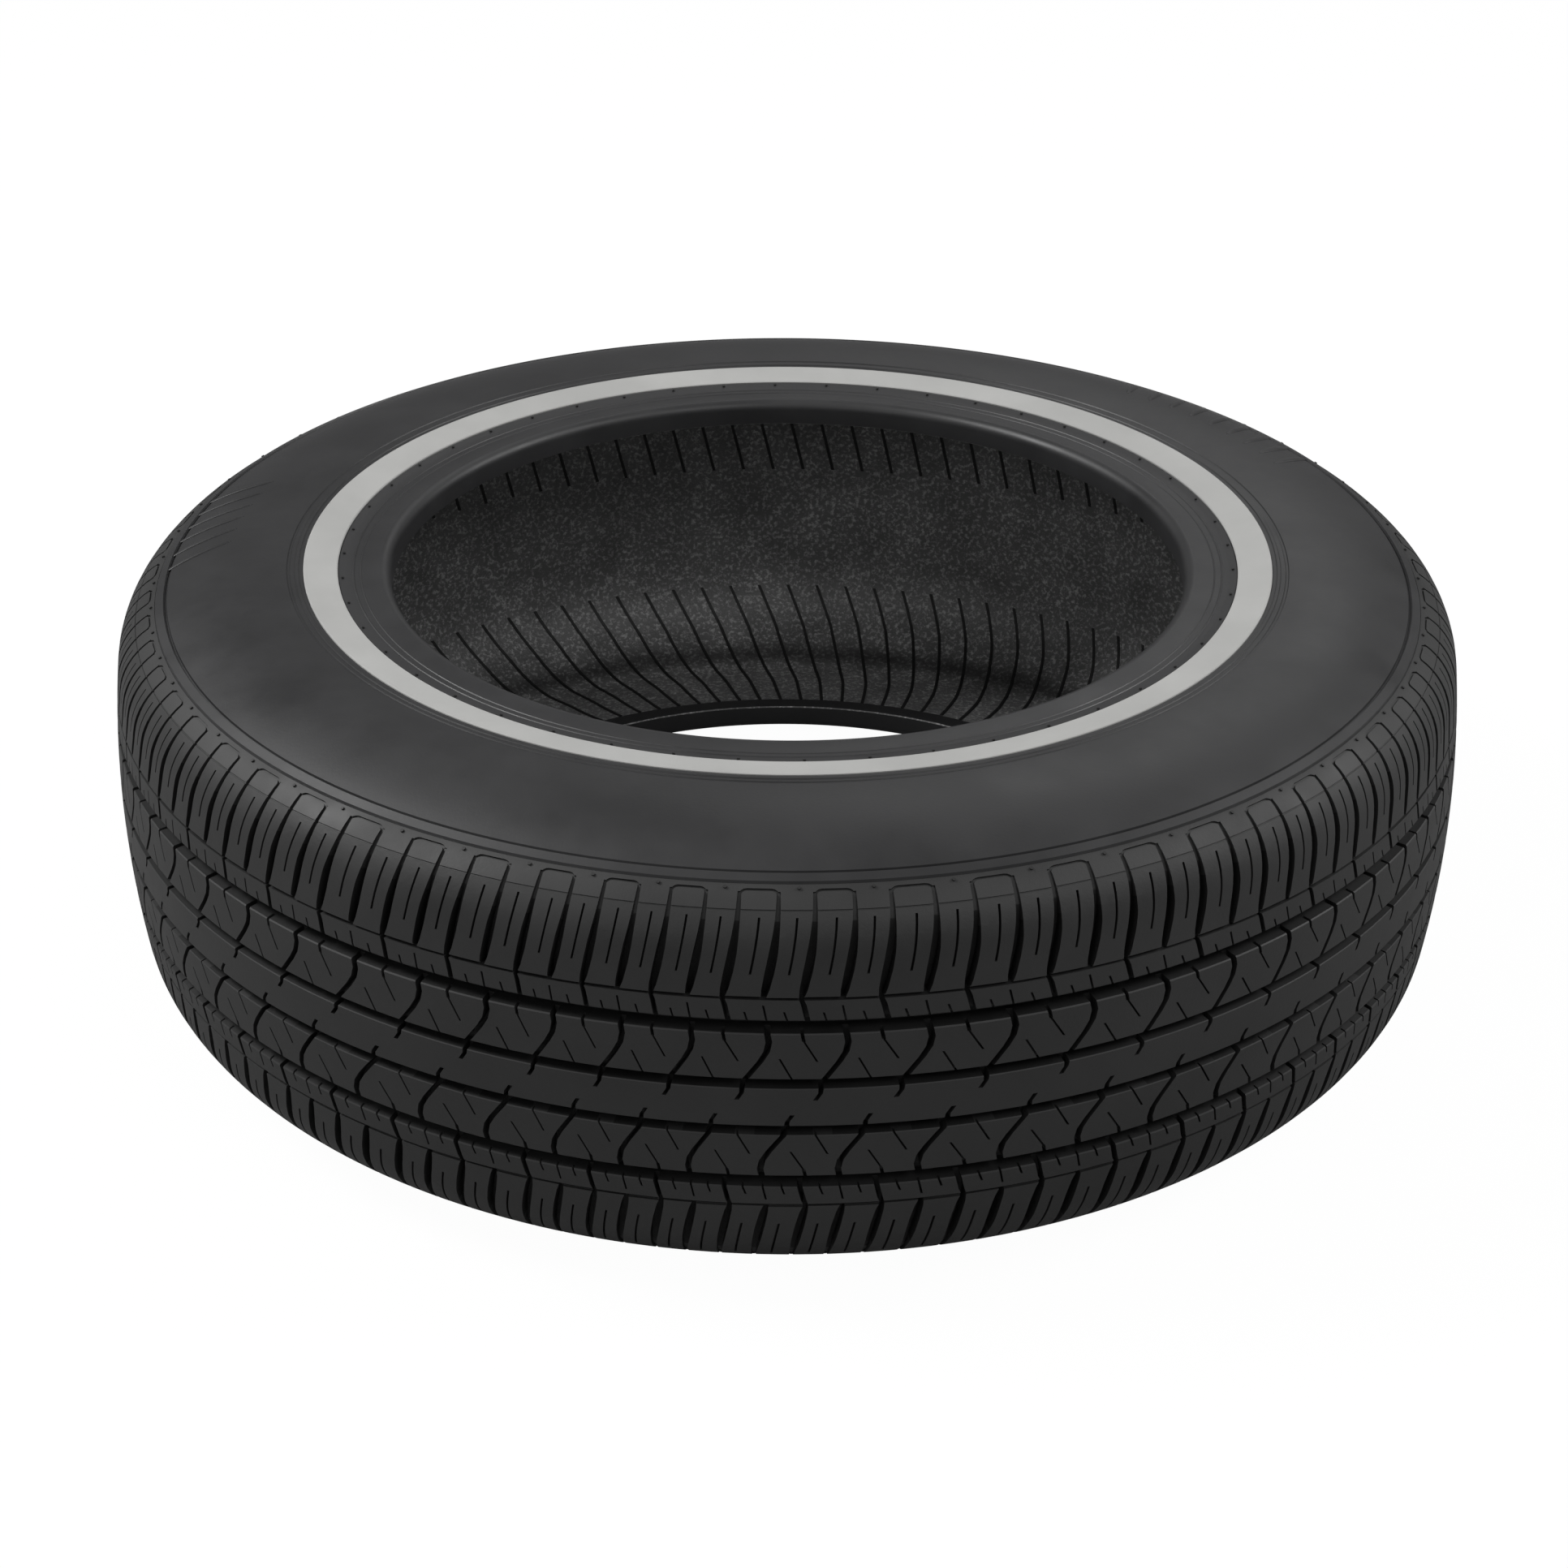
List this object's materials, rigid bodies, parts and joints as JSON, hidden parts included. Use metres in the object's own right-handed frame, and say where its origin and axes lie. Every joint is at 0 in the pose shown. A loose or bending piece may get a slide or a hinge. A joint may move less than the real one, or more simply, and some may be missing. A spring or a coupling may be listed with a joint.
{
  "type": "car tyre",
  "caption": "Radial passenger car tyre with ribbed all-season tread and a narrow white band on one sidewall, unmounted.",
  "frame": {"origin": "on the tyre's axis, midway between its two sidewalls", "axes": "+Z along the axis, towards the sidewall with the white band; the tyre lies on its other sidewall"},
  "size_m": [0.6474, 0.6474, 0.206],
  "materials": {
    "black_rubber": "satin",
    "white_rubber": "matte"
  },
  "bodies": {
    "root": {"tyre": "black_rubber", "whitewall": "white_rubber"}
  },
  "joints": []
}
